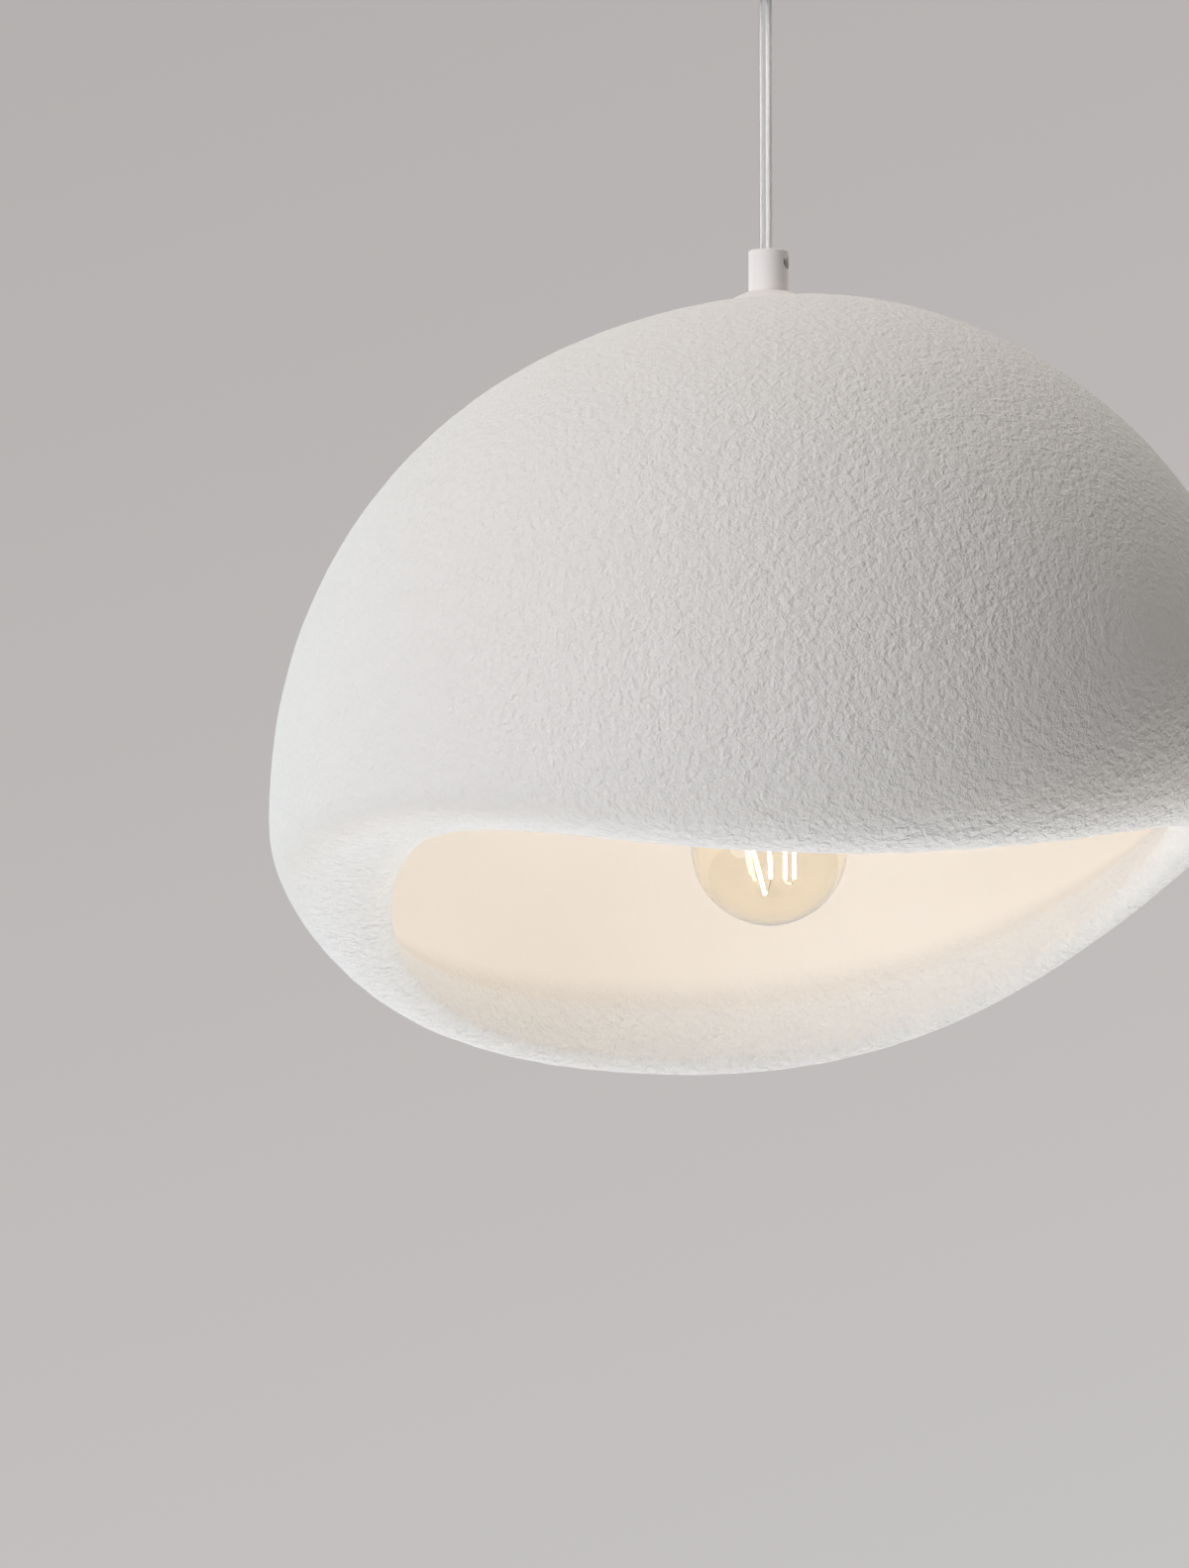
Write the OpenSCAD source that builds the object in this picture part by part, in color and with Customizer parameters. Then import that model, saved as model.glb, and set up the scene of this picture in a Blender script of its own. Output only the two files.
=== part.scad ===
// Pendant ceiling light: a thick pebble-shaped shade on a threaded rod, hung by its cord from a canopy.
// The origin is the centre of the ceiling face, +Z points up, and the cord hangs along the Z axis.
// The pendant's own axis stands a little off the cord, because the collar's set screw pushes the cord aside.

/* [Ceiling canopy] */
// Outer diameter of the canopy cup
canopy_d = 100; // [98:1:130]
// Height of the canopy cup
canopy_h = 26; // [26:1:30]
// Wall of the spun steel cup
canopy_wall = 1; // [0.8:0.1:1.2]
// Distance between the centres of the two ceiling slots
slot_spacing = 54; // [52:1:56]
// Length of each ceiling slot, end to end
slot_length = 14; // [10:1:14]
// Width of each ceiling slot
slot_width = 4.5; // [4:0.5:5]

/* [Cord and collar] */
// Outer diameter of the cord
cord_d = 6.8; // [6:0.1:6.8]
// Outer diameter of the collar
collar_d = 20.6; // [19:0.1:24]
// Height of the collar
collar_h = 21.4; // [20:0.1:26]
// Diameter of the set screw's recess
recess_d = 7.4; // [6.4:0.1:7.6]
// Direction of the set screw, seen from above
screw_turn = -21; // [-180:1:180]

/* [Cap] */
// Sphere radius of the cap's dome
cap_dome_r = 34.5; // [33:0.5:40]
// Wall of the spun cap
cap_wall = 1.2; // [1:0.1:1.5]

/* [Shade body] */
// Half the width of the shade, along X
shade_half_w = 255; // [250:1:280]
// Half the depth of the shade, along Y
shade_half_d = 244; // [235:1:270]
// Height of the dome over the widest level
dome_h = 243; // [230:1:245]
// Drop of the widest level below the collar's top
waist_drop = 268; // [262:1:270]
// Rise of the body to the right, per millimetre
lean = 0.112; // [0:0.002:0.12]
// Power of the dome's side curve, where 2 is an ellipse
side_power = 2.06; // [2:0.02:2.3]
// Power of the dome's top curve, where 2 is an ellipse
top_power = 1.96; // [1.9:0.02:2.2]
// How much fuller the dome is on the left than on average
left_fullness = 0.21; // [0:0.01:0.22]
// Power of the curve under the waist
under_power = 2.12; // [2:0.02:2.4]
// Mean wall thickness of the dome
shade_wall = 6; // [5:0.5:9]
// How much thicker the wall is at the right, and thinner at the left, so that the light hangs level
trim_right = 0.34; // [0:0.02:0.6]
// The same at the front, against the back
trim_front = 0.16; // [0:0.02:0.6]

/* [Shade mouth] */
// Mean radius of the mouth, at the lowest point of the lip
mouth_r = 214; // [212:1:222]
// Mean drop of the lip below the collar's top
lip_drop = 348.5; // [345:0.5:350]
// How much higher the lip is in front, and lower at the back
lip_front = 48.6; // [40:0.1:52]
// How much higher the lip is at the right, and lower at the left
lip_right = 17.2; // [10:0.2:20]
// How much higher the lip is at both sides than in front and behind
lip_saddle = 22; // [15:0.1:25]
// Twist of that saddle about the vertical
lip_twist = 11.1; // [5:0.1:12]
// Height of the three shallow waves along the lip, and of the four finer ones
lip_waves = 5; // [0:0.5:6]
lip_ripple = 2; // [0:0.5:3]
// Radial width of the rolled lip on average
roll_w = 18; // [15:1:20]
// Half the height of the rolled lip
roll_h = 14; // [11:1:15]

/* [Lamp] */
// Diameter of the globe lamp
globe_d = 80; // [78:1:82]
// Drop of the globe's centre below the collar's top
globe_drop = 308; // [306:1:310]

/* [Hidden] */
$fn = 64;
cut = 0.1;
rim = 0.01;

// Colours
steel = "silver";
brass = "goldenrod";
white_metal = "whitesmoke";
plaster = "white";
clear_plastic = "gainsboro";
dark_rubber = "dimgray";

// Ceiling bracket and canopy
bracket_t = 2;
bracket_w = 22;
flange_h = 14;
canopy_corner = 6;
inner_half = canopy_d / 2 - canopy_wall;
bracket_half = sqrt(inner_half * inner_half - bracket_w * bracket_w / 4) - 0.7;
side_screw_z = -10;
side_screw_r = 2;
side_hole_r = 2.2;
screw_head_r = 4;
screw_head_h = 2.4;

// Terminal block under the bracket
block = [32, 18, 12];
block_pitch = 14;
block_screw_r = 2;

// Grip in the canopy's floor: a ball on the cord's end hangs in a round seat above a flared mouth
rod_r = 5;
grip_r = 11;
grip_split_z = -canopy_h - 14;
grip_bottom = -canopy_h - 22;
grip_chamfer = 1;
grip_thread_r = 9.6;
grip_thread_h = 4;
ball_r = 8;
ball_z = -canopy_h - 12;
ball_gap = 0.2;
seat_r = 5.9;
flare_r = 8.6;
flare_h = 4.4;
wire_bore_r = 3.8;
nut_af = 17;

// Cord: it hangs straight, from just under the ball to inside the collar
cord_in_collar = 8;
cord_sides = 12;
cord_route = [
    [0, 0, -46.2], [0, 0, -56], [0, 0, -66], [0, 0, -76], [0, 0, -86], [0, 0, -96], [0, 0, -106],
    [0, 0, -116], [0, 0, -126], [0, 0, -136], [0, 0, -146], [0, 0, -156], [0, 0, -166], [0, 0, -177],
    [0, 0, -188]
];
collar_top = cord_route[len(cord_route) - 1][2] + cord_in_collar;

// Collar: the cord rests against the bore's far side from the set screw
cord_gap = 0.1;
cord_push = rod_r - cord_d / 2 - cord_gap;
collar_bevel = 0.6;
collar_bottom = collar_top - collar_h;
recess_depth = 1.6;
screw_drop = 6.2;
set_screw_r = 3;
socket_af = 3;

// Level seat in the shade's top, where the cap stands
seat_z = collar_top - 30.8;
seat_half = 26;
seat_blend = 20;
shade_hole_r = 5.6;
cap_centre_z = collar_bottom - sqrt(cap_dome_r * cap_dome_r - collar_d * collar_d / 4);

// Shade grid
shade_columns = 52;
dome_steps = 11;
under_steps = 8;
roll_steps = 5;
hollow_steps = 6;
dome_start = 7;
roll_turn = 130;
mouth_push = 2;
wave_start = 38;
roll_left = 4;
roll_front = 9;
under_skew = 0.08;
shade_mid_x = -0.7;
shade_mid_y = -14;
waist_z = collar_top - waist_drop;

// Clamp parts on the rod, under the shade's top
rubber_t = 2;
rubber_r = 18;
washer_t = 2;
washer_r = 20;
nut_h = 5;
inner_top = seat_z - shade_wall;

// Lamp, counted from the globe's centre
globe_z = collar_top - globe_drop;
globe_r = globe_d / 2;
glass_t = 0.8;
neck_r = 15;
neck_fillet = 18;
neck_top = globe_z + 52;
neck_in_cap_r = 11.9;
cap_shell_r = 12.4;
thread_pitch = 3.629;
thread_r = 0.9;
cap_top = neck_top + 21;
tip_top = neck_top + 26.2;

// Lamp holder, counted from the lamp's tip
contact_gap = 0.3;
contact_t = 0.6;
insert_bottom = tip_top + contact_gap + contact_t;
insert_h = 9;
insert_r = 16;
holder_top = insert_bottom + 27;
holder_split = insert_bottom - 1;
holder_bottom = neck_top - 5;
holder_r = 20;
rod_bottom = holder_top - 9;
cap_half_r = holder_r + 0.6;
cap_straight = 14;
cap_neck_r = 8;
joint_r = 18.4;
joint_h = 6;
holder_mouth_r = 16.8;
holder_mouth_h = 6.5;
shell_r = 14.2;
shell_t = 0.6;

// LED filaments: the top and the bottom of each, from the globe's centre
filaments = [
    [[-12, -3, 12], [-2.5, -5, -24]],
    [[-1, -9, 18], [0.5, -4, -16]],
    [[8, 8, 18], [8, 4, -16]],
    [[13, 2, 18], [12.5, 1, -16]]
];
filament_r = 0.9;
support_r = 0.3;
wire_gap = 1;
stem_end = [0, 0, 24];

// ---- shapes that repeat ----

// Everything on the pendant's own axis
module on_pendant() {
    translate(cord_push * [cos(screw_turn), sin(screw_turn), 0]) children();
}

module ring(outer, inner, bottom, height) {
    translate([0, 0, bottom]) difference() {
        cylinder(r = outer, h = height);
        translate([0, 0, -cut]) cylinder(r = inner, h = height + 2 * cut);
    }
}

module hex_nut(across_flats, bore, bottom, height) {
    translate([0, 0, bottom]) difference() {
        cylinder(d = across_flats / cos(30), h = height, $fn = 6);
        translate([0, 0, -cut]) cylinder(r = bore, h = height + 2 * cut);
    }
}

// A round bar from one point to another
module bar(from, to, r) {
    run = to - from;
    flat = norm([run[0], run[1]]);
    translate(from) rotate([0, atan2(flat, run[2]), atan2(run[1], run[0])]) cylinder(r = r, h = norm(run));
}

function unit(v) = v / norm(v);
function heading(route, i) = unit(route[min(i + 1, len(route) - 1)] - route[max(i - 1, 0)]);
function ring_points(route, i, r, sides) =
    let (ahead = heading(route, i), side = unit(cross(ahead, [1, 0, 0])), up = cross(ahead, side))
    [for (k = [0 : sides - 1]) route[i] + r * (cos(360 * k / sides) * side + sin(360 * k / sides) * up)];

// A tube of flat-sided rings along a route that never runs along X
module tube(route, r, sides) {
    last = len(route) - 1;
    points = [for (i = [0 : last]) each ring_points(route, i, r, sides)];
    walls = [for (i = [0 : last - 1], k = [0 : sides - 1])
        let (a = i * sides + k, b = i * sides + (k + 1) % sides)
        [a, b, b + sides, a + sides]];
    start_cap = [for (k = [sides - 1 : -1 : 0]) k];
    end_cap = [for (k = [0 : sides - 1]) last * sides + k];
    polyhedron(points = points, faces = concat(walls, [start_cap, end_cap]), convexity = 4);
}

// ---- ceiling side ----

module ceiling_bracket() color(steel) difference() {
    union() {
        translate([-bracket_half, -bracket_w / 2, -bracket_t]) cube([2 * bracket_half, bracket_w, bracket_t]);
        for (end = [-bracket_half, bracket_half - bracket_t])
            translate([end, -bracket_w / 2, -bracket_t - flange_h])
                cube([bracket_t, bracket_w, flange_h + bracket_t / 2]);
    }
    for (side = [-1, 1]) {
        // ceiling slot, along X
        translate([side * slot_spacing / 2, 0, -bracket_t - cut]) {
            for (end = [-1, 1])
                translate([end * (slot_length - slot_width) / 2, 0, 0])
                    cylinder(d = slot_width, h = bracket_t + 2 * cut);
            translate([-(slot_length - slot_width) / 2, -slot_width / 2, 0])
                cube([slot_length - slot_width, slot_width, bracket_t + 2 * cut]);
        }
        // threaded hole for the canopy's side screw
        translate([side * (bracket_half - bracket_t - cut), 0, side_screw_z])
            rotate([0, side * 90, 0]) cylinder(r = side_screw_r, h = bracket_t + 2 * cut);
    }
}

// Half of a cup's section with a rounded lower corner, rim at 0
module cup_half(r, h, corner) {
    translate([0, -h + corner]) square([r, h - corner]);
    translate([0, -h]) square([r - corner, h]);
    translate([r - corner, -h + corner]) circle(corner);
}

module canopy_cup() color(white_metal) difference() {
    rotate_extrude() difference() {
        cup_half(canopy_d / 2, canopy_h, canopy_corner);
        translate([0, 1]) cup_half(inner_half, canopy_h - canopy_wall + 1, canopy_corner - canopy_wall);
        translate([0, -canopy_h - 1]) square([rod_r + 0.1, canopy_h]);
    }
    for (side = [-1, 1])
        translate([side * (inner_half - 1), 0, side_screw_z])
            rotate([0, side * 90, 0]) cylinder(r = side_hole_r, h = canopy_wall + 2);
}

module canopy_screws() color(steel)
    for (side = [-1, 1])
        translate([side * canopy_d / 2, 0, side_screw_z]) rotate([0, side * 90, 0]) difference() {
            union() {
                translate([0, 0, -8]) cylinder(r = side_screw_r, h = 8.5);
                cylinder(r1 = screw_head_r, r2 = screw_head_r - 1.2, h = screw_head_h);
            }
            for (turn = [0, 90])
                rotate(turn) translate([-2, -0.4, screw_head_h - 1.2]) cube([4, 0.8, 2]);
        }

module terminal_block() color(clear_plastic) difference() {
    translate([-block[0] / 2, -block[1] / 2, -bracket_t - block[2]]) cube(block);
    for (side = [-1, 1]) {
        // wire way along Y, and two screw wells from below
        translate([side * block_pitch / 2, -block[1] / 2 - cut, -bracket_t - block[2] / 2])
            rotate([-90, 0, 0]) cylinder(r = 1.5, h = block[1] + 2 * cut);
        for (end = [-1, 1])
            translate([side * block_pitch / 2, end * 5, -bracket_t - block[2] - cut])
                cylinder(r = block_screw_r + 0.1, h = 4.4);
    }
}

module terminal_screws() color(brass)
    for (side = [-1, 1], end = [-1, 1])
        translate([side * block_pitch / 2, end * 5, -bracket_t - block[2] + 1]) difference() {
            cylinder(r = block_screw_r + 0.1, h = 3.2);
            translate([-2.5, -0.3, -cut]) cube([5, 0.6, 1]);
        }

// Two conductors from the grip's bore round to the block's front
module canopy_wires() color("white")
    for (side = [-1, 1])
        tube([
            [side * 1.6, 0, -28], [side * 1.6, 0, -23], [side * 1.7, -0.4, -19.5], [side * 2.2, -2.5, -16.6],
            [side * 3.4, -6, -15.9], [side * 5, -10, -16.2], [side * 6.3, -13.4, -14.6],
            [side * 6.9, -14.8, -11.6], [side * 7, -13.4, -8.8], [side * 7, -11, -8], [side * 7, -6, -8]
        ], 1.1, 8);

module canopy_grip() color(white_metal) difference() {
    union() {
        translate([0, 0, grip_split_z]) cylinder(r = grip_r, h = -canopy_h - grip_split_z);
        translate([0, 0, -canopy_h - 1]) cylinder(r = rod_r, h = 9);
    }
    translate([0, 0, -canopy_h - 2]) cylinder(r = wire_bore_r, h = 12);
    translate([0, 0, ball_z]) cylinder(r = ball_r + ball_gap, h = ball_r + ball_gap);
    translate([0, 0, grip_split_z - cut]) cylinder(r = grip_thread_r, h = grip_thread_h + cut);
}

module grip_lock_nut() color(steel)
    hex_nut(14, rod_r, -canopy_h + canopy_wall, 3);

module grip_mouth() color(white_metal) difference() {
    union() {
        translate([0, 0, grip_bottom]) cylinder(r1 = grip_r - grip_chamfer, r2 = grip_r, h = grip_chamfer);
        translate([0, 0, grip_bottom + grip_chamfer - rim])
            cylinder(r = grip_r, h = grip_split_z - grip_bottom - grip_chamfer + rim);
        translate([0, 0, grip_split_z - rim]) cylinder(r = grip_thread_r, h = grip_thread_h + rim);
    }
    translate([0, 0, ball_z]) sphere(r = ball_r + ball_gap);
    translate([0, 0, grip_bottom - cut]) cylinder(r1 = flare_r, r2 = seat_r, h = flare_h + cut);
}

// The ball that the cord's strain cord is moulded into
module cord_ball() color(clear_plastic) translate([0, 0, ball_z]) sphere(r = ball_r);

module pendant_cord() color(clear_plastic) tube(cord_route, cord_d / 2, cord_sides);

// ---- collar, cap and shade ----

module cord_collar() color(white_metal) on_pendant() difference() {
    union() {
        translate([0, 0, collar_bottom]) cylinder(d = collar_d, h = collar_h - collar_bevel);
        translate([0, 0, collar_top - collar_bevel])
            cylinder(r1 = collar_d / 2, r2 = collar_d / 2 - collar_bevel, h = collar_bevel);
    }
    translate([0, 0, collar_bottom - cut]) cylinder(r = rod_r, h = collar_h + 2 * cut);
    rotate(screw_turn) translate([0, 0, collar_top - screw_drop]) rotate([0, 90, 0]) {
        cylinder(r = set_screw_r, h = collar_d);
        translate([0, 0, collar_d / 2 - recess_depth]) cylinder(d = recess_d, h = collar_d);
    }
}

// A socket set screw, whose narrow end points at the cord
module collar_screw() color(steel) on_pendant()
    rotate(screw_turn) translate([0, 0, collar_top - screw_drop]) rotate([0, 90, 0]) difference() {
        union() {
            translate([0, 0, rod_r - 0.4]) cylinder(r = set_screw_r, h = collar_d / 2 - rod_r - 1.9);
            translate([0, 0, cord_d / 2 - cord_push + cord_gap]) cylinder(r = 2, h = 3.5);
        }
        translate([0, 0, collar_d / 2 - 4.3]) cylinder(d = socket_af / cos(30), h = 4, $fn = 6);
    }

module cap_plate() color(white_metal) on_pendant() difference() {
    intersection() {
        translate([0, 0, cap_centre_z]) sphere(r = cap_dome_r);
        translate([0, 0, seat_z]) cylinder(r = cap_dome_r, h = collar_bottom - seat_z);
    }
    intersection() {
        translate([0, 0, cap_centre_z]) sphere(r = cap_dome_r - cap_wall);
        translate([0, 0, seat_z - 1]) cylinder(r = cap_dome_r, h = collar_bottom - seat_z + 1 - cap_wall);
    }
    translate([0, 0, seat_z]) cylinder(r = rod_r + 0.1, h = 20);
}

function smooth(t) = let (c = min(max(t, 0), 1)) c * c * (3 - 2 * c);
function mix(a, b, t) = a + (b - a) * t;
function waist_r(turn) = 1 / sqrt(pow(cos(turn) / shade_half_w, 2) + pow(sin(turn) / shade_half_d, 2));
function lip_r(turn) = mouth_r + mouth_push * (cos(turn) - sin(turn));
function lip_z(turn) = collar_top - lip_drop + lip_right * cos(turn) - lip_front * sin(turn)
    + lip_saddle * cos(2 * turn) + lip_twist * sin(2 * turn)
    + lip_waves * cos(3 * turn + wave_start) + lip_ripple * sin(4 * turn);
function roll_width(turn) = roll_w - roll_left * cos(turn) - roll_front * sin(turn);
function plan_point(turn, r, shift = 1) =
    [shift * shade_mid_x + r * cos(turn), shift * shade_mid_y + r * sin(turn)];
function leaning(p, z) = [p[0], p[1], z + lean * p[0]];

function wall(turn) = shade_wall + trim_right * cos(turn) - trim_front * sin(turn);

// The level seat takes over from the dome near the hole
function seated(p, level) =
    let (away = smooth((norm([p[0], p[1]]) - seat_half) / seat_blend))
    [p[0], p[1], mix(level, p[2], away)];

// The dome, from its top (angle 0) to its waist (angle 90). inside is 0 on the outside and 1 in the hollow
function dome_point(turn, angle, inside) =
    let (skew = left_fullness * cos(turn),
         depth = inside * wall(turn),
         r = (waist_r(turn) - depth) * pow(sin(angle), 2 / (side_power - skew)),
         rise = (dome_h - depth) * pow(max(cos(angle), 0), 2 / (top_power - skew)))
    seated(leaning(plan_point(turn, r, pow(sin(angle), 2)), waist_z + rise), seat_z - inside * shade_wall);

// The wall under the waist curls inwards to the bottom of the lip
function under_point(turn, angle) =
    let (power = 2 / (under_power - under_skew * cos(turn)),
         r = mix(lip_r(turn), waist_r(turn), pow(max(cos(angle), 0), power)),
         top = leaning(plan_point(turn, waist_r(turn)), waist_z)[2])
    concat(plan_point(turn, r), [mix(top, lip_z(turn), pow(sin(angle), power))]);

// The lip rolls up into the hollow
function roll_point(turn, angle) =
    concat(plan_point(turn, lip_r(turn) - roll_width(turn) * sin(angle)),
           [lip_z(turn) + roll_h * (1 - cos(angle))]);

// The hollow widens again from the lip's roll up to the waist
function hollow_point(turn, t) =
    let (start_r = waist_r(turn) - wall(turn),
         start = leaning(plan_point(turn, start_r), waist_z),
         r_end = lip_r(turn) - roll_width(turn) * sin(roll_turn),
         z_end = roll_point(turn, roll_turn)[2])
    concat(plan_point(turn, mix(start_r, r_end, t * t)), [mix(start[2], z_end, t)]);

function seat_ring(turn, r, level) = [r * cos(turn), r * sin(turn), level];

function shade_section(turn) = concat(
    [for (r = [shade_hole_r, seat_half]) seat_ring(turn, r, seat_z)],
    [for (i = [0 : dome_steps]) dome_point(turn, mix(dome_start, 90, i / dome_steps), 0)],
    [for (i = [1 : under_steps]) under_point(turn, 90 * i / under_steps)],
    [for (i = [1 : roll_steps]) roll_point(turn, roll_turn * i / roll_steps)],
    [for (i = [hollow_steps - 1 : -1 : 0]) hollow_point(turn, i / hollow_steps)],
    [for (i = [dome_steps - 1 : -1 : 0]) dome_point(turn, mix(dome_start, 90, i / dome_steps), 1)],
    [for (r = [seat_half, shade_hole_r]) seat_ring(turn, r, seat_z - shade_wall)]
);

module shade() color(plaster) on_pendant() {
    sections = [for (c = [0 : shade_columns - 1]) shade_section(360 * c / shade_columns)];
    rows = len(sections[0]);
    faces = [for (c = [0 : shade_columns - 1], r = [0 : rows - 1])
        let (here = c * rows, next = ((c + 1) % shade_columns) * rows, below = (r + 1) % rows)
        each [[here + r, next + r, next + below], [here + r, next + below, here + below]]];
    polyhedron(points = [for (s = sections) each s], faces = faces, convexity = 6);
}

module rubber_washer() color(dark_rubber) on_pendant()
    ring(rubber_r, rod_r + 0.1, inner_top - rubber_t, rubber_t);

module inner_washer() color(steel) on_pendant()
    ring(washer_r, rod_r + 0.1, inner_top - rubber_t - washer_t, washer_t);

// One nut clamps the shade, the other locks the lamp holder
module rod_nuts() color(steel) on_pendant() {
    hex_nut(nut_af, rod_r, inner_top - rubber_t - washer_t - nut_h, nut_h);
    hex_nut(nut_af, rod_r, holder_top, nut_h);
}

module threaded_rod() color(steel) on_pendant()
    ring(rod_r, wire_bore_r, rod_bottom, collar_bottom + 9 - rod_bottom);

module rod_wires() color("white") on_pendant()
    for (side = [-1, 1])
        translate([side * 1.4, 0, insert_bottom + insert_h])
            cylinder(r = 1.1, h = collar_top - cord_in_collar - 0.5 - insert_bottom - insert_h);

// ---- lamp holder ----

module holder_cap() color(white_metal) on_pendant() translate([0, 0, holder_split]) difference() {
    union() {
        cylinder(r = cap_half_r, h = cap_straight);
        translate([0, 0, cap_straight])
            cylinder(r1 = cap_half_r, r2 = cap_neck_r, h = holder_top - holder_split - cap_straight - 4);
        cylinder(r = cap_neck_r, h = holder_top - holder_split);
    }
    translate([0, 0, -cut]) cylinder(r = joint_r, h = joint_h + cut);
    cylinder(r = insert_r + 0.2, h = cap_straight);
    cylinder(r = rod_r, h = holder_top - holder_split + cut);
}

module holder_body() color(white_metal) on_pendant() difference() {
    union() {
        translate([0, 0, holder_bottom]) cylinder(r1 = holder_r - 1, r2 = holder_r, h = 1);
        translate([0, 0, holder_bottom + 1]) cylinder(r = holder_r, h = holder_split - holder_bottom - 1);
        translate([0, 0, holder_split - rim]) cylinder(r = joint_r, h = joint_h + rim);
    }
    translate([0, 0, holder_bottom - cut]) cylinder(r = holder_mouth_r, h = holder_mouth_h + cut);
    translate([0, 0, holder_bottom]) cylinder(r = shell_r, h = insert_bottom - holder_bottom + cut);
    translate([0, 0, insert_bottom]) cylinder(r = insert_r, h = insert_h);
}

module holder_insert() color("white") on_pendant()
    difference() {
        translate([0, 0, insert_bottom]) cylinder(r = insert_r, h = insert_h);
        translate([0, 0, insert_bottom + 5]) cylinder(r = 10, h = insert_h);
    }

module holder_shell() color(brass) on_pendant()
    ring(shell_r, shell_r - shell_t, neck_top + 1.6, insert_bottom - neck_top - 1.6);

// Centre tongue and side tongue, both fixed under the insert
module holder_contacts() color(brass) on_pendant() translate([0, 0, insert_bottom - contact_t]) {
    translate([-5, -3, 0]) cube([16, 6, contact_t]);
    translate([-12.5, -2.5, 0]) cube([5, 5, contact_t]);
}

// ---- lamp ----

module lamp_tip() color(steel) on_pendant()
    translate([0, 0, tip_top - 1.6]) cylinder(r1 = 4.6, r2 = 3.6, h = 1.6);

module lamp_insulator() color("black") on_pendant()
    translate([0, 0, cap_top]) cylinder(r1 = 10.6, r2 = 5.4, h = tip_top - 1.7 - cap_top);

// The screw cap's thread is drawn as five round ribs
module lamp_screw_cap() color(brass) on_pendant() rotate_extrude() difference() {
    union() {
        translate([0, neck_top]) square([cap_shell_r, cap_top - 2 - neck_top]);
        polygon([[0, cap_top - 2], [cap_shell_r, cap_top - 2], [10.6, cap_top], [0, cap_top]]);
        for (i = [0 : 4])
            translate([cap_shell_r - 0.1, neck_top + 2.2 + i * thread_pitch]) circle(thread_r, $fn = 24);
    }
    translate([-1, neck_top - 1]) square([neck_in_cap_r + 1, 16]);
    translate([-1, neck_top + 14]) square([9, 16]);
}

// Half of the globe's section: a ball, and a neck that flows into it
module globe_half(r, neck, fillet, top) {
    reach = r + fillet;
    fillet_z = globe_z + sqrt(reach * reach - pow(neck + fillet, 2));
    touch = [(neck + fillet) * r / reach, globe_z + (fillet_z - globe_z) * r / reach];
    intersection() {
        translate([0, globe_z]) circle(r);
        translate([0, globe_z - r]) square(2 * r);
    }
    difference() {
        polygon([[0, touch[1] - 2], [touch[0] - 1, touch[1] - 2], touch, [neck + fillet, fillet_z],
                 [neck, fillet_z], [neck, top], [0, top]]);
        translate([neck + fillet, fillet_z]) circle(fillet);
    }
}

module lamp_globe() color("moccasin", 0.5) on_pendant() difference() {
    rotate_extrude() {
        globe_half(globe_r, neck_r, neck_fillet, neck_top);
        translate([0, neck_top - 1]) square([neck_in_cap_r, 11]);
    }
    rotate_extrude() {
        globe_half(globe_r - glass_t, neck_r - glass_t, neck_fillet + glass_t, neck_top - glass_t);
        translate([0, neck_top - 2]) square([neck_in_cap_r - glass_t, 14]);
    }
}

// The stem closes the neck and carries the filaments
module lamp_stem() color("lightcyan", 0.6) on_pendant() translate([0, 0, globe_z]) {
    translate([0, 0, 56]) cylinder(r = neck_in_cap_r - glass_t, h = 3);
    translate([0, 0, 34]) cylinder(r1 = 3.4, r2 = 7, h = 22);
    translate([0, 0, stem_end[2]]) cylinder(r = 2.4, h = 10);
}

// Wires hold the filaments under the stem's end, and a bent wire links each pair's lower ends
module lamp_supports() color(steel) on_pendant() translate([0, 0, globe_z]) {
    for (f = filaments) {
        root = stem_end - [0, 0, 0.35] + 1.4 * unit([f[0][0], f[0][1], 0]);
        tube([root, f[0] + [0, 0, wire_gap]], support_r, 8);
    }
    for (pair = [0, 2]) {
        left_end = filaments[pair][1] - [0, 0, wire_gap];
        right_end = filaments[pair + 1][1] - [0, 0, wire_gap];
        tube([left_end, mix(left_end, right_end, 0.3) - [0, 0, 1.5],
              mix(left_end, right_end, 0.7) - [0, 0, 1.5], right_end], support_r, 8);
    }
}

module lamp_filaments() color("ivory") on_pendant() translate([0, 0, globe_z])
    for (f = filaments) bar(f[0], f[1], filament_r);

ceiling_bracket();
canopy_cup();
canopy_screws();
terminal_block();
terminal_screws();
canopy_wires();
canopy_grip();
grip_lock_nut();
grip_mouth();
cord_ball();
pendant_cord();
cord_collar();
collar_screw();
cap_plate();
shade();
rubber_washer();
inner_washer();
rod_nuts();
threaded_rod();
rod_wires();
holder_cap();
holder_body();
holder_insert();
holder_shell();
holder_contacts();
lamp_tip();
lamp_insulator();
lamp_screw_cap();
lamp_globe();
lamp_stem();
lamp_supports();
lamp_filaments();
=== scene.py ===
# Looks of the pendant ceiling light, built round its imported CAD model.
# Everything is in metres in the row frame: the ceiling face is at z = 0 and the cord hangs along the Z axis.
import math

import bpy
import numpy as np
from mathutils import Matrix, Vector, noise


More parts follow.
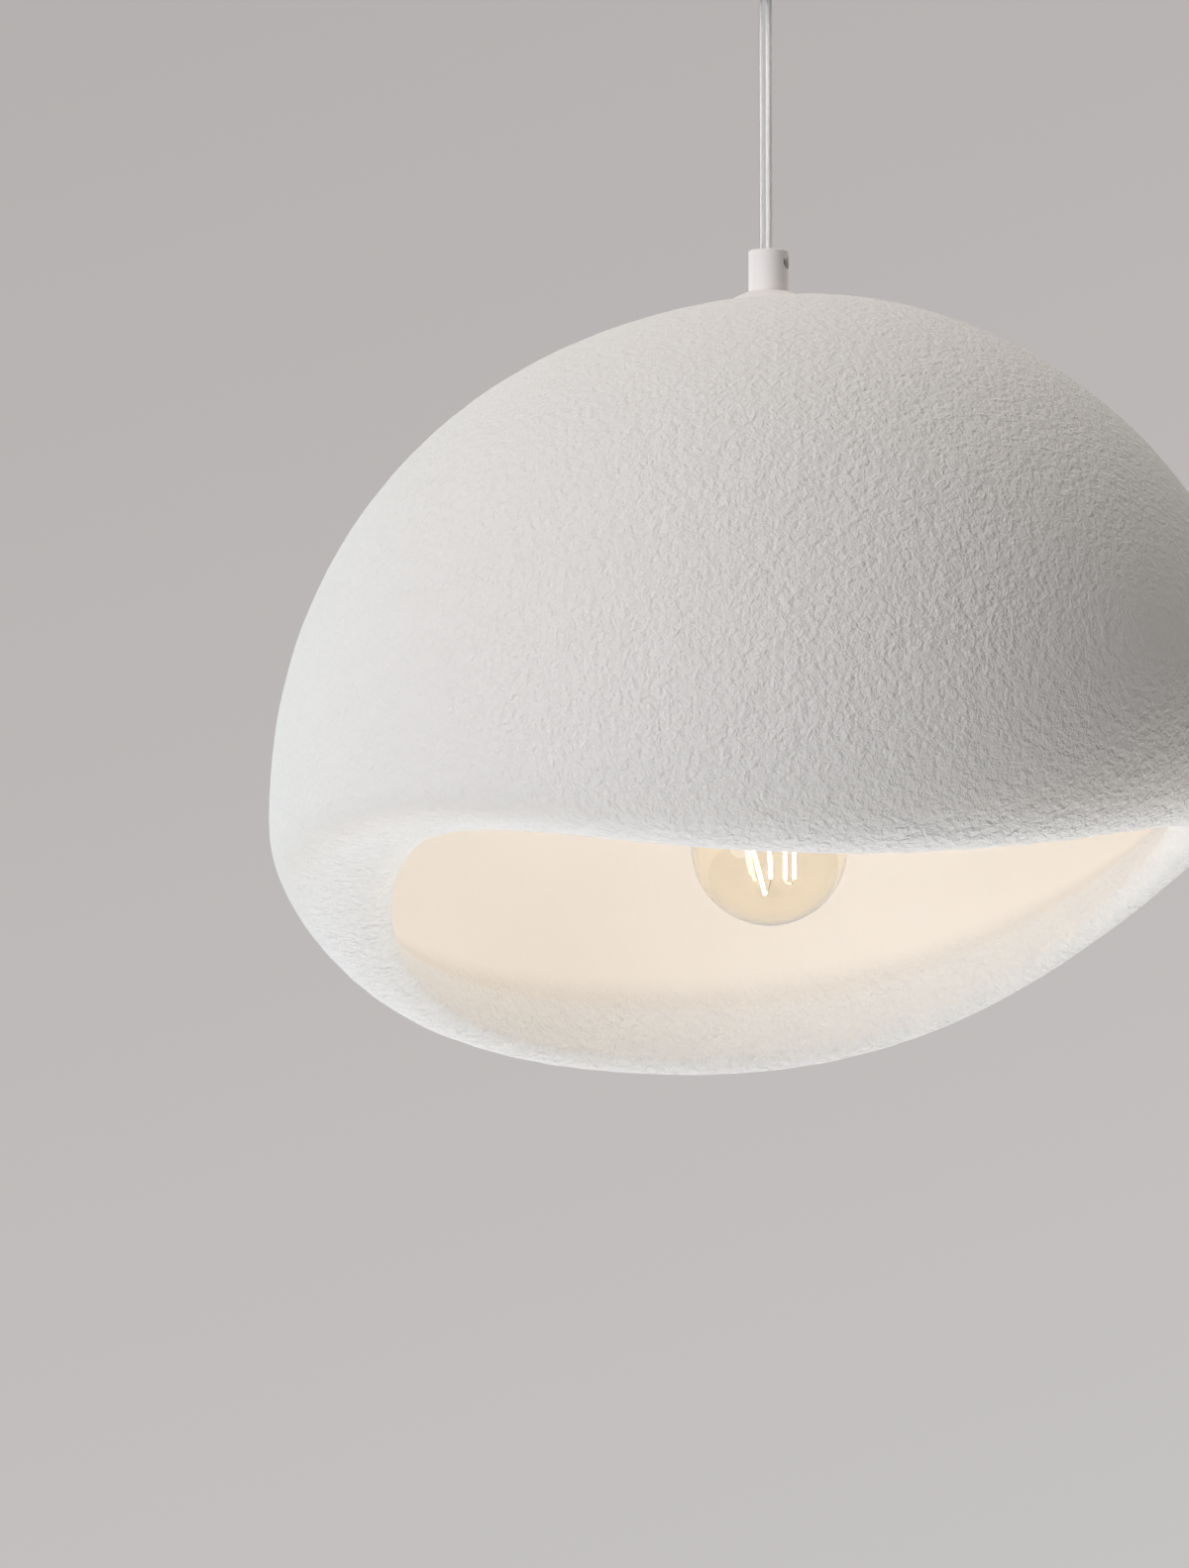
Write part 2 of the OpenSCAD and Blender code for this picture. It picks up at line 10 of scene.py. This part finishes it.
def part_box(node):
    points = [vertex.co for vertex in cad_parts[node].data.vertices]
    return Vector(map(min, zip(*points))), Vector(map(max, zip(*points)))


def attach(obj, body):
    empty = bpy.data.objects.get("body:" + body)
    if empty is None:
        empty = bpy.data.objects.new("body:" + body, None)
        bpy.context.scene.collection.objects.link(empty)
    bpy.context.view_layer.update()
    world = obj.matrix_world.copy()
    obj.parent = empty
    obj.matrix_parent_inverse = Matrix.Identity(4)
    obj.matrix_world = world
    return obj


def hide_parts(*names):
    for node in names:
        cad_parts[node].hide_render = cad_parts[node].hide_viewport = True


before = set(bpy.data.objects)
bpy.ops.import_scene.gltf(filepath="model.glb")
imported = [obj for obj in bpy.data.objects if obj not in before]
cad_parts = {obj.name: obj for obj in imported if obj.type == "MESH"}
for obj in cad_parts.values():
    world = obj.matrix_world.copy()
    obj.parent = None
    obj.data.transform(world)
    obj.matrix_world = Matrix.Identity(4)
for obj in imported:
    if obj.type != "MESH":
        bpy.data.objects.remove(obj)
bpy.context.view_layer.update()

MM = 0.001
# The pendant's own axis and levels, from the CAD's boxes
collar_low, collar_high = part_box("cord_collar")
globe_low, globe_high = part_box("lamp_globe")
AXIS_X = (collar_low.x + collar_high.x) / 2
AXIS_Y = (collar_low.y + collar_high.y) / 2
COLLAR_TOP = collar_high.z
GLOBE_R = (globe_high.x - globe_low.x) / 2
GLOBE_Z = globe_low.z + GLOBE_R


# ---- camera ----

# Metres in front of the pendant's axis, left of it and below the collar's top; degrees upwards; millimetres
CAMERA_DISTANCE = 4.0
CAMERA_LEFT = 0.0896
CAMERA_DROP = 0.562
CAMERA_PITCH = 4.1
CAMERA_LENS = 179.66
CAMERA_SENSOR = 36


def make_camera():
    data = bpy.data.cameras.new("camera")
    data.lens = CAMERA_LENS
    data.sensor_width = CAMERA_SENSOR
    data.clip_end = 60
    camera = bpy.data.objects.new("camera", data)
    bpy.context.scene.collection.objects.link(camera)
    camera.location = (AXIS_X - CAMERA_LEFT, AXIS_Y - CAMERA_DISTANCE, COLLAR_TOP - CAMERA_DROP)
    camera.rotation_euler = (math.radians(90 + CAMERA_PITCH), 0, 0)
    bpy.context.scene.camera = camera


# ---- material tools ----

def rgb(*values):
    """sRGB numbers from 0 to 255 as a linear colour."""
    linear = [v / 12.92 if v <= 0.04045 else ((v + 0.055) / 1.055) ** 2.4 for v in (x / 255 for x in values)]
    return (*linear, 1)


def grey(value):
    return value, value, value, 1


class Material:
    """A Principled material in object coordinates, with short ways to add noise and bump."""

    def __init__(self, name, colour, **values):
        self.material = bpy.data.materials.new(name)
        self.material.use_nodes = True
        self.tree = self.material.node_tree
        self.shader = self.tree.nodes["Principled BSDF"]
        self.material.diffuse_color = colour
        self.colour = colour
        self.set("Base Color", colour)
        for key, value in values.items():
            self.set(key.replace("_", " ").title().replace("Ior", "IOR"), value)
        self.place = self.node("ShaderNodeTexCoord").outputs["Object"]

    def node(self, kind, **values):
        node = self.tree.nodes.new(kind)
        for key, value in values.items():
            setattr(node, key, value)
        return node

    def link(self, source, target):
        self.tree.links.new(source, target)

    def set(self, socket, value):
        self.shader.inputs[socket].default_value = value

    def noise(self, scale, detail=2.0, roughness=0.5, distortion=0.0):
        """A noise value from 0 to 1; scale is in features per metre."""
        node = self.node("ShaderNodeTexNoise")
        node.inputs["Scale"].default_value = scale
        node.inputs["Detail"].default_value = detail
        node.inputs["Roughness"].default_value = roughness
        node.inputs["Distortion"].default_value = distortion
        self.link(self.place, node.inputs["Vector"])
        return node.outputs["Fac"]

    def ramp(self, value, low, high, start=0.3, end=0.7):
        """Runs from low to high as value goes from start to end."""
        node = self.node("ShaderNodeMapRange")
        for key, number in (("From Min", start), ("From Max", end), ("To Min", low), ("To Max", high)):
            node.inputs[key].default_value = number
        self.link(value, node.inputs["Value"])
        return node.outputs["Result"]

    def maths(self, operation, first, second):
        node = self.node("ShaderNodeMath", operation=operation)
        for socket, value in zip(node.inputs, (first, second)):
            if isinstance(value, (int, float)):
                socket.default_value = value
            else:
                self.link(value, socket)
        return node.outputs["Value"]

    def vary_colour(self, value, other):
        """The base colour runs from what it was to another as value goes from 0 to 1."""
        node = self.node("ShaderNodeMix", data_type="RGBA")
        base = self.shader.inputs["Base Color"]
        if base.is_linked:
            self.link(base.links[0].from_socket, node.inputs[6])
        else:
            node.inputs[6].default_value = self.colour
        node.inputs[7].default_value = other
        self.link(value, node.inputs["Factor"])
        self.link(node.outputs[2], self.shader.inputs["Base Color"])
        return self

    def vary_roughness(self, value):
        self.link(value, self.shader.inputs["Roughness"])
        return self

    def bump(self, height, distance):
        """A height from 0 to 1 stands proud by distance, in metres."""
        node = self.node("ShaderNodeBump")
        node.inputs["Distance"].default_value = distance
        node.inputs["Strength"].default_value = 1.0
        self.link(height, node.inputs["Height"])
        self.link(node.outputs["Normal"], self.shader.inputs["Normal"])
        return self


# ---- mesh tools ----

def add_piece(name, points, faces, material, body, smooth_angle=40):
    """A new mesh piece that rides on a body. faces may be lists of 3 or 4 vertex numbers."""
    mesh = bpy.data.meshes.new(name)
    mesh.from_pydata([tuple(p) for p in points], [], [tuple(f) for f in faces])
    mesh.validate()
    mesh.polygons.foreach_set("use_smooth", [True] * len(mesh.polygons))
    mesh.set_sharp_from_angle(angle=math.radians(smooth_angle))
    piece = bpy.data.objects.new(name, mesh)
    bpy.context.scene.collection.objects.link(piece)
    mesh.materials.append(material.material)
    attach(piece, body)
    return piece


def grid_faces(rows, columns, close_rows=False):
    """Quads of a grid whose columns close into a ring; point (row, column) is number row * columns + column."""
    row, column = np.meshgrid(np.arange(rows if close_rows else rows - 1), np.arange(columns), indexing="ij")
    after, beside = (row + 1) % rows, (column + 1) % columns
    quads = np.stack([row * columns + column, after * columns + column,
                      after * columns + beside, row * columns + beside], -1)
    return quads.reshape(-1, 4)


def dress(node, material):
    """A CAD node that is shown as it is gets a better material."""
    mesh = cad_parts[node].data
    mesh.materials.clear()
    mesh.materials.append(material.material)
    mesh.polygons.foreach_set("material_index", [0] * len(mesh.polygons))


# ---- cord ----

# Heights of the route's points in millimetres, from just under the ball to inside the collar
CORD_Z = [-46.2, -56, -66, -76, -86, -96, -106, -116, -126, -136, -146, -156, -166, -177, -188]
CORD_D = 6.8 * MM
# x, y and radius of each white core in the cord, in millimetres
CORES = [(-1.9, -1.0, 0.8), (1.4, -1.0, 1.35)]
# The cores stop short of the sheath's ends, in millimetres
CORE_GAP = 0.2


def tube_rings(x, y, radius, levels, sides):
    turn = np.linspace(0, 2 * np.pi, sides, endpoint=False)
    ring = np.stack([x + radius * np.cos(turn), y + radius * np.sin(turn)], -1)
    return np.concatenate([np.column_stack([ring, np.full(sides, z)]) for z in levels])


def capped_tube(x, y, radius, levels, sides):
    """A closed upright tube, from its first level down to its last."""
    points = tube_rings(x, y, radius, levels, sides)
    faces = [list(f) for f in grid_faces(len(levels), sides)]
    last = (len(levels) - 1) * sides
    faces.append(list(range(sides)))
    faces.append([last + k for k in reversed(range(sides))])
    return points, faces


def make_cord(sheath, core):
    levels = [z * MM for z in CORD_Z]
    points, faces = capped_tube(0, 0, CORD_D / 2, levels, 48)
    slots = [0] * len(faces)
    inside = [levels[0] - CORE_GAP * MM, *levels[1:-1], levels[-1] + CORE_GAP * MM]
    for x, y, radius in CORES:
        more, more_faces = capped_tube(x * MM, y * MM, radius * MM, inside, 24)
        faces += [[k + len(points) for k in f] for f in more_faces]
        slots += [1] * len(more_faces)
        points = np.concatenate([points, more])
    cord = add_piece("pendant_cord_clear", points, faces, sheath, "cord")
    cord.data.materials.append(core.material)
    cord.data.polygons.foreach_set("material_index", slots)
    cord.visible_shadow = False
    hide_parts("pendant_cord")


# ---- shade ----

# The same measures as the CAD model's, in millimetres
HALF_W, HALF_D, DOME_H, WAIST_DROP, LEAN = 255, 244, 243, 268, 0.112
SIDE_POWER, TOP_POWER, LEFT_FULLNESS, UNDER_POWER, UNDER_SKEW = 2.06, 1.96, 0.21, 2.12, 0.08
WALL, TRIM_RIGHT, TRIM_FRONT = 6, 0.34, 0.16
MOUTH_R, MOUTH_PUSH, LIP_DROP = 214, 2, 348.5
LIP_FRONT, LIP_RIGHT, LIP_SADDLE, LIP_TWIST = 48.6, 17.2, 22, 11.1
LIP_WAVES, WAVE_START, LIP_RIPPLE = 5, 38, 2
ROLL_W, ROLL_H, ROLL_LEFT, ROLL_FRONT, ROLL_TURN = 18, 14, 4, 9, 130
MID_X, MID_Y = -0.7, -14
SEAT_DROP, SEAT_HALF, SEAT_BLEND, HOLE_R = 30.8, 26, 20, 5.6
# Degrees from the top where the dome's rows start
DOME_START = 7
SHADE_COLUMNS = 420
DOME_ROWS, UNDER_ROWS, ROLL_ROWS, HOLLOW_ROWS, INNER_ROWS = 104, 52, 14, 26, 36
# How many of the roll's rows the softening takes in, and how often it runs
ROLL_SOFT_ROWS, SOFT_PASSES = 7, 40
# Depth and wavelength of the rough coat's relief, in millimetres
COAT_DEPTH, COAT_WAVE = 0.4, 14
# How much of the coat the lip and the smooth inside carry, where the outside carries 1
LIP_COAT, INNER_COAT = 1.7, 0.03
# Where the coat changes, each as a start and a width: in degrees from the dome's top, from the waist and
# from the dome's top inside, and as a share of the way down the hollow
SEAT_COAT, UNDER_COAT, INNER_SEAT_COAT, HOLLOW_COAT = (8.5, 2), (30, 50), (8, 4), (0.72, 0.28)


def soft_step(t):
    t = np.clip(t, 0, 1)
    return t * t * (3 - 2 * t)


def change(value, span):
    """Goes softly from 0 to 1 over a span of (start, width)."""
    start, width = span
    return soft_step((value - start) / width)


def mix(a, b, t):
    return a + (b - a) * t


class Shade:
    """Points of the shade in millimetres from the pendant's axis and from the collar's top.
    turn is the plan angle of each column and angle or t runs down each part."""

    def __init__(self, columns):
        self.turn = np.linspace(0, 2 * np.pi, columns, endpoint=False)[None, :]
        self.cos, self.sin = np.cos(self.turn), np.sin(self.turn)
        self.waist_r = 1 / np.sqrt((self.cos / HALF_W) ** 2 + (self.sin / HALF_D) ** 2)
        self.lip_r = MOUTH_R + MOUTH_PUSH * (self.cos - self.sin)
        self.lip_z = (LIP_RIGHT * self.cos - LIP_DROP - LIP_FRONT * self.sin
                      + LIP_SADDLE * np.cos(2 * self.turn) + LIP_TWIST * np.sin(2 * self.turn)
                      + LIP_WAVES * np.cos(3 * self.turn + math.radians(WAVE_START))
                      + LIP_RIPPLE * np.sin(4 * self.turn))
        self.wall = WALL + TRIM_RIGHT * self.cos - TRIM_FRONT * self.sin
        self.roll_w = ROLL_W - ROLL_LEFT * self.cos - ROLL_FRONT * self.sin

    def place(self, r, shift=1.0):
        return shift * MID_X + r * self.cos, shift * MID_Y + r * self.sin

    def dome(self, angle, inside):
        depth = inside * self.wall
        skew = LEFT_FULLNESS * self.cos
        r = (self.waist_r - depth) * np.sin(angle) ** (2 / (SIDE_POWER - skew))
        rise = (DOME_H - depth) * np.clip(np.cos(angle), 0, 1) ** (2 / (TOP_POWER - skew))
        x, y = self.place(r, np.sin(angle) ** 2)
        z = rise - WAIST_DROP + LEAN * x
        away = soft_step((np.hypot(x, y) - SEAT_HALF) / SEAT_BLEND)
        return x, y, mix(-SEAT_DROP - inside * WALL, z, away)

    def under(self, angle):
        power = 2 / (UNDER_POWER - UNDER_SKEW * self.cos)
        r = mix(self.lip_r, self.waist_r, np.clip(np.cos(angle), 0, 1) ** power)
        top = LEAN * self.place(self.waist_r)[0] - WAIST_DROP
        return (*self.place(r), mix(top, self.lip_z, np.sin(angle) ** power))

    def roll(self, angle):
        return (*self.place(self.lip_r - self.roll_w * np.sin(angle)), self.lip_z + ROLL_H * (1 - np.cos(angle)))

    def hollow(self, t):
        start_r = self.waist_r - self.wall
        start_z = LEAN * self.place(start_r)[0] - WAIST_DROP
        end_angle = math.radians(ROLL_TURN)
        end_r = self.lip_r - self.roll_w * math.sin(end_angle)
        end_z = self.lip_z + ROLL_H * (1 - math.cos(end_angle))
        return (*self.place(mix(start_r, end_r, t * t)), mix(start_z, end_z, t))

    def ring(self, r, depth):
        return r * self.cos, r * self.sin, np.full_like(self.cos, -SEAT_DROP - depth)


def shade_grid():
    """All rows of the shade from the hole in its top, over the outside and the lip, to the hole from inside.
    Also how much of the rough coat each row carries."""
    shape = Shade(SHADE_COLUMNS)

    def steps(low, high, count):
        return np.linspace(low, high, count + 1)[1:, None]

    dome_angles = np.radians(np.linspace(DOME_START, 90, DOME_ROWS + 1))[:, None]
    inner_angles = np.radians(np.linspace(90, DOME_START, INNER_ROWS + 1))[:, None]
    under_angles = steps(0, 90, UNDER_ROWS)
    roll_turns = steps(0, ROLL_TURN, ROLL_ROWS)
    hollow_t = steps(1, 0, HOLLOW_ROWS)[:-1]
    bare = np.zeros((1, 1))
    parts = [
        (shape.ring(HOLE_R, 0), bare),
        (shape.ring(SEAT_HALF, 0), bare),
        (shape.dome(dome_angles, 0), change(np.degrees(dome_angles), SEAT_COAT)),
        (shape.under(np.radians(under_angles)), mix(1, LIP_COAT, change(under_angles, UNDER_COAT))),
        (shape.roll(np.radians(roll_turns)), np.full_like(roll_turns, LIP_COAT)),
        (shape.hollow(hollow_t), mix(INNER_COAT, LIP_COAT, change(hollow_t, HOLLOW_COAT))),
        (shape.dome(inner_angles, 1), INNER_COAT * change(np.degrees(inner_angles), INNER_SEAT_COAT)),
        (shape.ring(SEAT_HALF, WALL), bare),
        (shape.ring(HOLE_R, WALL), bare),
    ]
    xyz = np.concatenate([np.stack(np.broadcast_arrays(*p), -1) for p, _ in parts])
    coat = np.concatenate([c for _, c in parts])
    # the parts up to the lip's roll
    lip_end = sum(len(c) for _, c in parts[:5])
    soften(xyz, lip_end - ROLL_SOFT_ROWS, lip_end + HOLLOW_ROWS // 2)
    return xyz, np.broadcast_to(coat, xyz.shape[:2])


def soften(xyz, first, last):
    """Smooths the section between two rows, where the lip's roll runs into the hollow."""
    for _ in range(SOFT_PASSES):
        middle = (xyz[first - 1:last - 1] + xyz[first + 1:last + 1]) / 2
        xyz[first:last] = (xyz[first:last] + middle) / 2


def grid_normals(xyz):
    """Outward unit normals of a grid whose columns close into a ring."""
    along = np.gradient(xyz, axis=0)
    across = np.roll(xyz, -1, axis=1) - np.roll(xyz, 1, axis=1)
    normal = np.cross(along, across)
    return normal / np.maximum(np.linalg.norm(normal, axis=2, keepdims=True), 1e-9)


def coat_relief(points, wave):
    """Lumpy relief from 0 (a dimple) to 1 (a crest) at each point."""
    values = []
    for x, y, z in points / wave:
        place = Vector((x, y, z))
        values.append(0.5 + 0.5 * noise.noise(place) + 0.3 * noise.noise(place * 0.4))
    return np.clip(np.array(values), 0, 1)


def make_shade(plaster):
    xyz, coat = shade_grid()
    rows, columns = coat.shape
    flat = xyz.reshape(-1, 3)
    relief = coat_relief(flat, COAT_WAVE)
    depth = COAT_DEPTH * (1 - relief) * coat.reshape(-1)
    flat = flat - grid_normals(xyz).reshape(-1, 3) * depth[:, None]
    points = flat * MM + np.array([AXIS_X, AXIS_Y, COLLAR_TOP])
    faces = grid_faces(rows, columns, close_rows=True)[:, ::-1]
    shade = add_piece("shade_plaster", points, faces, plaster, "pendant", 60)
    attribute = shade.data.attributes.new("coat", "FLOAT", "POINT")
    attribute.data.foreach_set("value", coat.reshape(-1).astype(np.float32))
    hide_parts("shade")


# Features per metre of the coat's lumps and of its grain, the grain's share, and the bump's height in mm
LUMPS, GRAIN, GRAIN_SHARE, COAT_BUMP = 240, 800, 0.15, 2.2


def plaster_material():
    """The outside's own colour, which turns lighter on the smooth inside; a cooler tint painted on the lip
    stands in for less of the lamp's warm light falling on it.
    """
    m = Material("plaster_coat", rgb(237, 235, 233), roughness=0.92)
    m.set("Specular IOR Level", 0.25)
    coat = m.node("ShaderNodeAttribute", attribute_name="coat").outputs["Fac"]
    lumps = m.maths("MULTIPLY", m.noise(LUMPS, 3.0, 0.60, distortion=0.2), 1 - GRAIN_SHARE)
    grain = m.maths("MULTIPLY", m.noise(GRAIN, 1.5), GRAIN_SHARE)
    m.bump(m.maths("MULTIPLY", m.maths("ADD", lumps, grain), coat), COAT_BUMP * MM)
    m.vary_colour(m.ramp(coat, 1.0, 0.0, 0.1, 0.8), rgb(245, 242, 239))
    # painted light: the lip is tinted cooler to stand in for less of the lamp's warm light reaching it
    m.vary_colour(m.ramp(coat, 0.0, 1.0, 1.1, 1.6), rgb(239, 240, 241))
    return m


# ---- lamp ----

FILAMENT_GLOW = 40
GLASS_IOR = 1.47


def glass(name, colour):
    m = Material(name, colour, roughness=0.0, ior=GLASS_IOR)
    m.set("Transmission Weight", 1.0)
    return m


def make_lamp():
    amber = glass("amber_glass", rgb(255, 251, 242))
    clear = glass("clear_glass", rgb(252, 252, 250))
    filament = Material("filament", rgb(255, 226, 170), roughness=0.5)
    filament.set("Emission Color", (1.0, 0.80, 0.50, 1))
    filament.set("Emission Strength", FILAMENT_GLOW)
    dress("lamp_globe", amber)
    dress("lamp_stem", clear)
    dress("lamp_filaments", filament)
    for node in ("lamp_globe", "lamp_stem"):
        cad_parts[node].visible_shadow = False


# ---- metal and plastic ----

def metal(name, colour, roughness):
    """Bare metal with a fine satin grain."""
    m = Material(name, colour, roughness=roughness, metallic=1.0)
    m.vary_roughness(m.ramp(m.noise(900, 3), roughness * 0.8, min(roughness * 1.25, 1)))
    m.bump(m.noise(1800, 2), 0.02 * MM)
    return m


def coated(name, colour, roughness, grain=1500, relief=0.03):
    """Paint, plastic or rubber; grain is in features per metre and relief in millimetres."""
    m = Material(name, colour, roughness=roughness)
    m.vary_roughness(m.ramp(m.noise(grain * 0.3, 2), roughness * 0.9, min(roughness * 1.15, 1)))
    m.bump(m.noise(grain, 2), relief * MM)
    return m


def dress_metal():
    white = coated("white_powder_coat", rgb(242, 238, 237), 0.55)
    zinc = metal("zinc_steel", (0.52, 0.52, 0.53, 1), 0.35)
    screw = metal("screw_steel", (0.30, 0.30, 0.31, 1), 0.40)
    brass = metal("brass", (0.72, 0.50, 0.22, 1), 0.28)
    nickel = metal("lamp_cap_nickel", (0.66, 0.62, 0.53, 1), 0.22)
    solder = metal("tip_solder", (0.50, 0.50, 0.50, 1), 0.40)
    wire = metal("fine_wire", (0.45, 0.44, 0.42, 1), 0.30)
    moulded = coated("moulded_plastic", rgb(226, 225, 221), 0.50, 1200, 0.02)
    insulation = coated("wire_insulation", rgb(232, 230, 224), 0.45, 1800, 0.02)
    nylon = coated("ball_nylon", rgb(222, 221, 215), 0.45, 1500, 0.03)
    ceramic = coated("ceramic_insert", rgb(232, 229, 221), 0.35, 700, 0.04)
    rubber = coated("black_rubber", grey(0.02), 0.75, 900, 0.05)
    black_glass = coated("lamp_insulator_glass", (0.012, 0.012, 0.016, 1), 0.12, 900, 0.01)
    looks = {
        white: ["canopy_cup", "canopy_grip", "grip_mouth", "cord_collar", "cap_plate"],
        zinc: ["ceiling_bracket", "grip_lock_nut", "inner_washer", "rod_nuts", "threaded_rod"],
        screw: ["canopy_screws", "collar_screw"],
        brass: ["terminal_screws", "holder_shell", "holder_contacts"],
        nickel: ["lamp_screw_cap"],
        solder: ["lamp_tip"],
        wire: ["lamp_supports"],
        moulded: ["terminal_block", "holder_cap", "holder_body"],
        insulation: ["canopy_wires", "rod_wires"],
        nylon: ["cord_ball"],
        ceramic: ["holder_insert"],
        rubber: ["rubber_washer"],
        black_glass: ["lamp_insulator"],
    }
    for material, nodes in looks.items():
        for node in nodes:
            dress(node, material)


# ---- room and light ----

# What the lights face
SHADE_MIDDLE = Vector((0, 0, -0.4))
# How far an aimed light is from the shade's middle, in metres
LIGHT_REACH = 4.0
# How much the wall's shading tilts across the view
WALL_TILT = -0.16
# The room in front of the light, against the wall behind it
ROOM_DIM = 0.22


def make_room():
    """The room's soft light and its plain wall: the world is brighter low down and behind the light."""
    world = bpy.data.worlds.new("room")
    bpy.context.scene.world = world
    world.use_nodes = True
    tree = world.node_tree
    nodes, links = tree.nodes, tree.links
    background = nodes["Background"]
    place = nodes.new("ShaderNodeTexCoord").outputs["Generated"]
    split = nodes.new("ShaderNodeSeparateXYZ")
    links.new(place, split.inputs[0])

    def maths(operation, first, second, clamp=False):
        node = nodes.new("ShaderNodeMath")
        node.operation, node.use_clamp = operation, clamp
        for socket, value in zip(node.inputs, (first, second)):
            if isinstance(value, (int, float)):
                socket.default_value = value
            else:
                links.new(value, socket)
        return node.outputs[0]

    def ramp(value, stops):
        node = nodes.new("ShaderNodeValToRGB")
        while len(node.color_ramp.elements) < len(stops):
            node.color_ramp.elements.new(0.5)
        for element, (position, colour) in zip(node.color_ramp.elements, stops):
            element.position, element.color = position, colour
        links.new(value, node.inputs[0])
        return node.outputs[0]

    def half_turn(axis):
        """0 against an axis, 0.5 across it and 1 along it."""
        value = maths("MULTIPLY_ADD", split.outputs[axis], 0.5)
        value.node.inputs[2].default_value = 0.5
        return value

    # the wall's shading lies near the horizon, at 0.5
    tilted = maths("ADD", half_turn("Z"), maths("MULTIPLY", split.outputs["X"], WALL_TILT), True)
    shades = ramp(tilted, [
        (0.0, rgb(196, 195, 193)), (0.47, rgb(198, 196, 194)), (0.5, rgb(194, 191, 190)),
        (0.55, rgb(187, 183, 182)), (0.6, rgb(180, 176, 175)), (1.0, rgb(190, 187, 186))])
    # the wall behind the light is lit, and the room in front of it is dimmer
    dim = ramp(half_turn("Y"), [(0.0, grey(ROOM_DIM)), (0.45, grey(ROOM_DIM)), (0.9, grey(1))])
    mixed = nodes.new("ShaderNodeMix")
    mixed.data_type, mixed.blend_type = "RGBA", "MULTIPLY"
    mixed.inputs["Factor"].default_value = 1.0
    links.new(shades, mixed.inputs[6])
    links.new(dim, mixed.inputs[7])
    links.new(mixed.outputs[2], background.inputs["Color"])


def area_light(name, place, size, power, colour, reflected=True):
    """A disk that faces the shade; size is in metres and power in watts."""
    data = bpy.data.lights.new(name, "AREA")
    data.shape, data.size, data.energy, data.color = "DISK", size, power, colour
    light = bpy.data.objects.new(name, data)
    bpy.context.scene.collection.objects.link(light)
    light.location = place
    light.rotation_euler = (SHADE_MIDDLE - Vector(place)).to_track_quat("-Z", "Y").to_euler()
    light.visible_camera = False
    light.visible_glossy = light.visible_transmission = reflected


def aimed_light(name, turn, height, size, power, colour, reflected=True):
    """A light in a direction from the shade: degrees in plan, and degrees above the horizon."""
    turn, height = math.radians(turn), math.radians(height)
    away = Vector((math.cos(turn) * math.cos(height), math.sin(turn) * math.cos(height), math.sin(height)))
    area_light(name, SHADE_MIDDLE + LIGHT_REACH * away, size, power, colour, reflected)


def make_lights():
    aimed_light("window", 225, 40, 2.6, 95, (1.0, 0.95, 0.91))
    aimed_light("window_low", 225, 0, 2.6, 35, (0.76, 0.86, 1.0))
    aimed_light("far_right", 45, 40, 2.6, 53, (1.0, 0.98, 0.91), False)
    aimed_light("far_left", 135, 0, 2.6, 53, (0.69, 0.98, 1.0), False)
    area_light("floor_glow", (0, 0, -3.3), 8.0, 187, (1.0, 0.965, 0.93), False)
    # the lit lamp, as a point in the middle of its globe; this sampling keeps it clean through the glass
    data = bpy.data.lights.new("lamp_glow", "POINT")
    data.energy, data.color, data.shadow_soft_size = 0.305, (1.0, 0.93, 0.86), 0.012
    data.cycles.use_multiple_importance_sampling = False
    glow = bpy.data.objects.new("lamp_glow", data)
    bpy.context.scene.collection.objects.link(glow)
    glow.location = (AXIS_X, AXIS_Y, GLOBE_Z)
    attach(glow, "lamp")


def main():
    bpy.context.scene.view_settings.view_transform = "Standard"
    make_camera()
    sheath = glass("clear_sheath", rgb(252, 252, 252))
    make_cord(sheath, coated("core_insulation", rgb(240, 239, 238), 0.45, 1800, 0.01))
    make_shade(plaster_material())
    dress_metal()
    make_lamp()
    make_room()
    make_lights()


main()
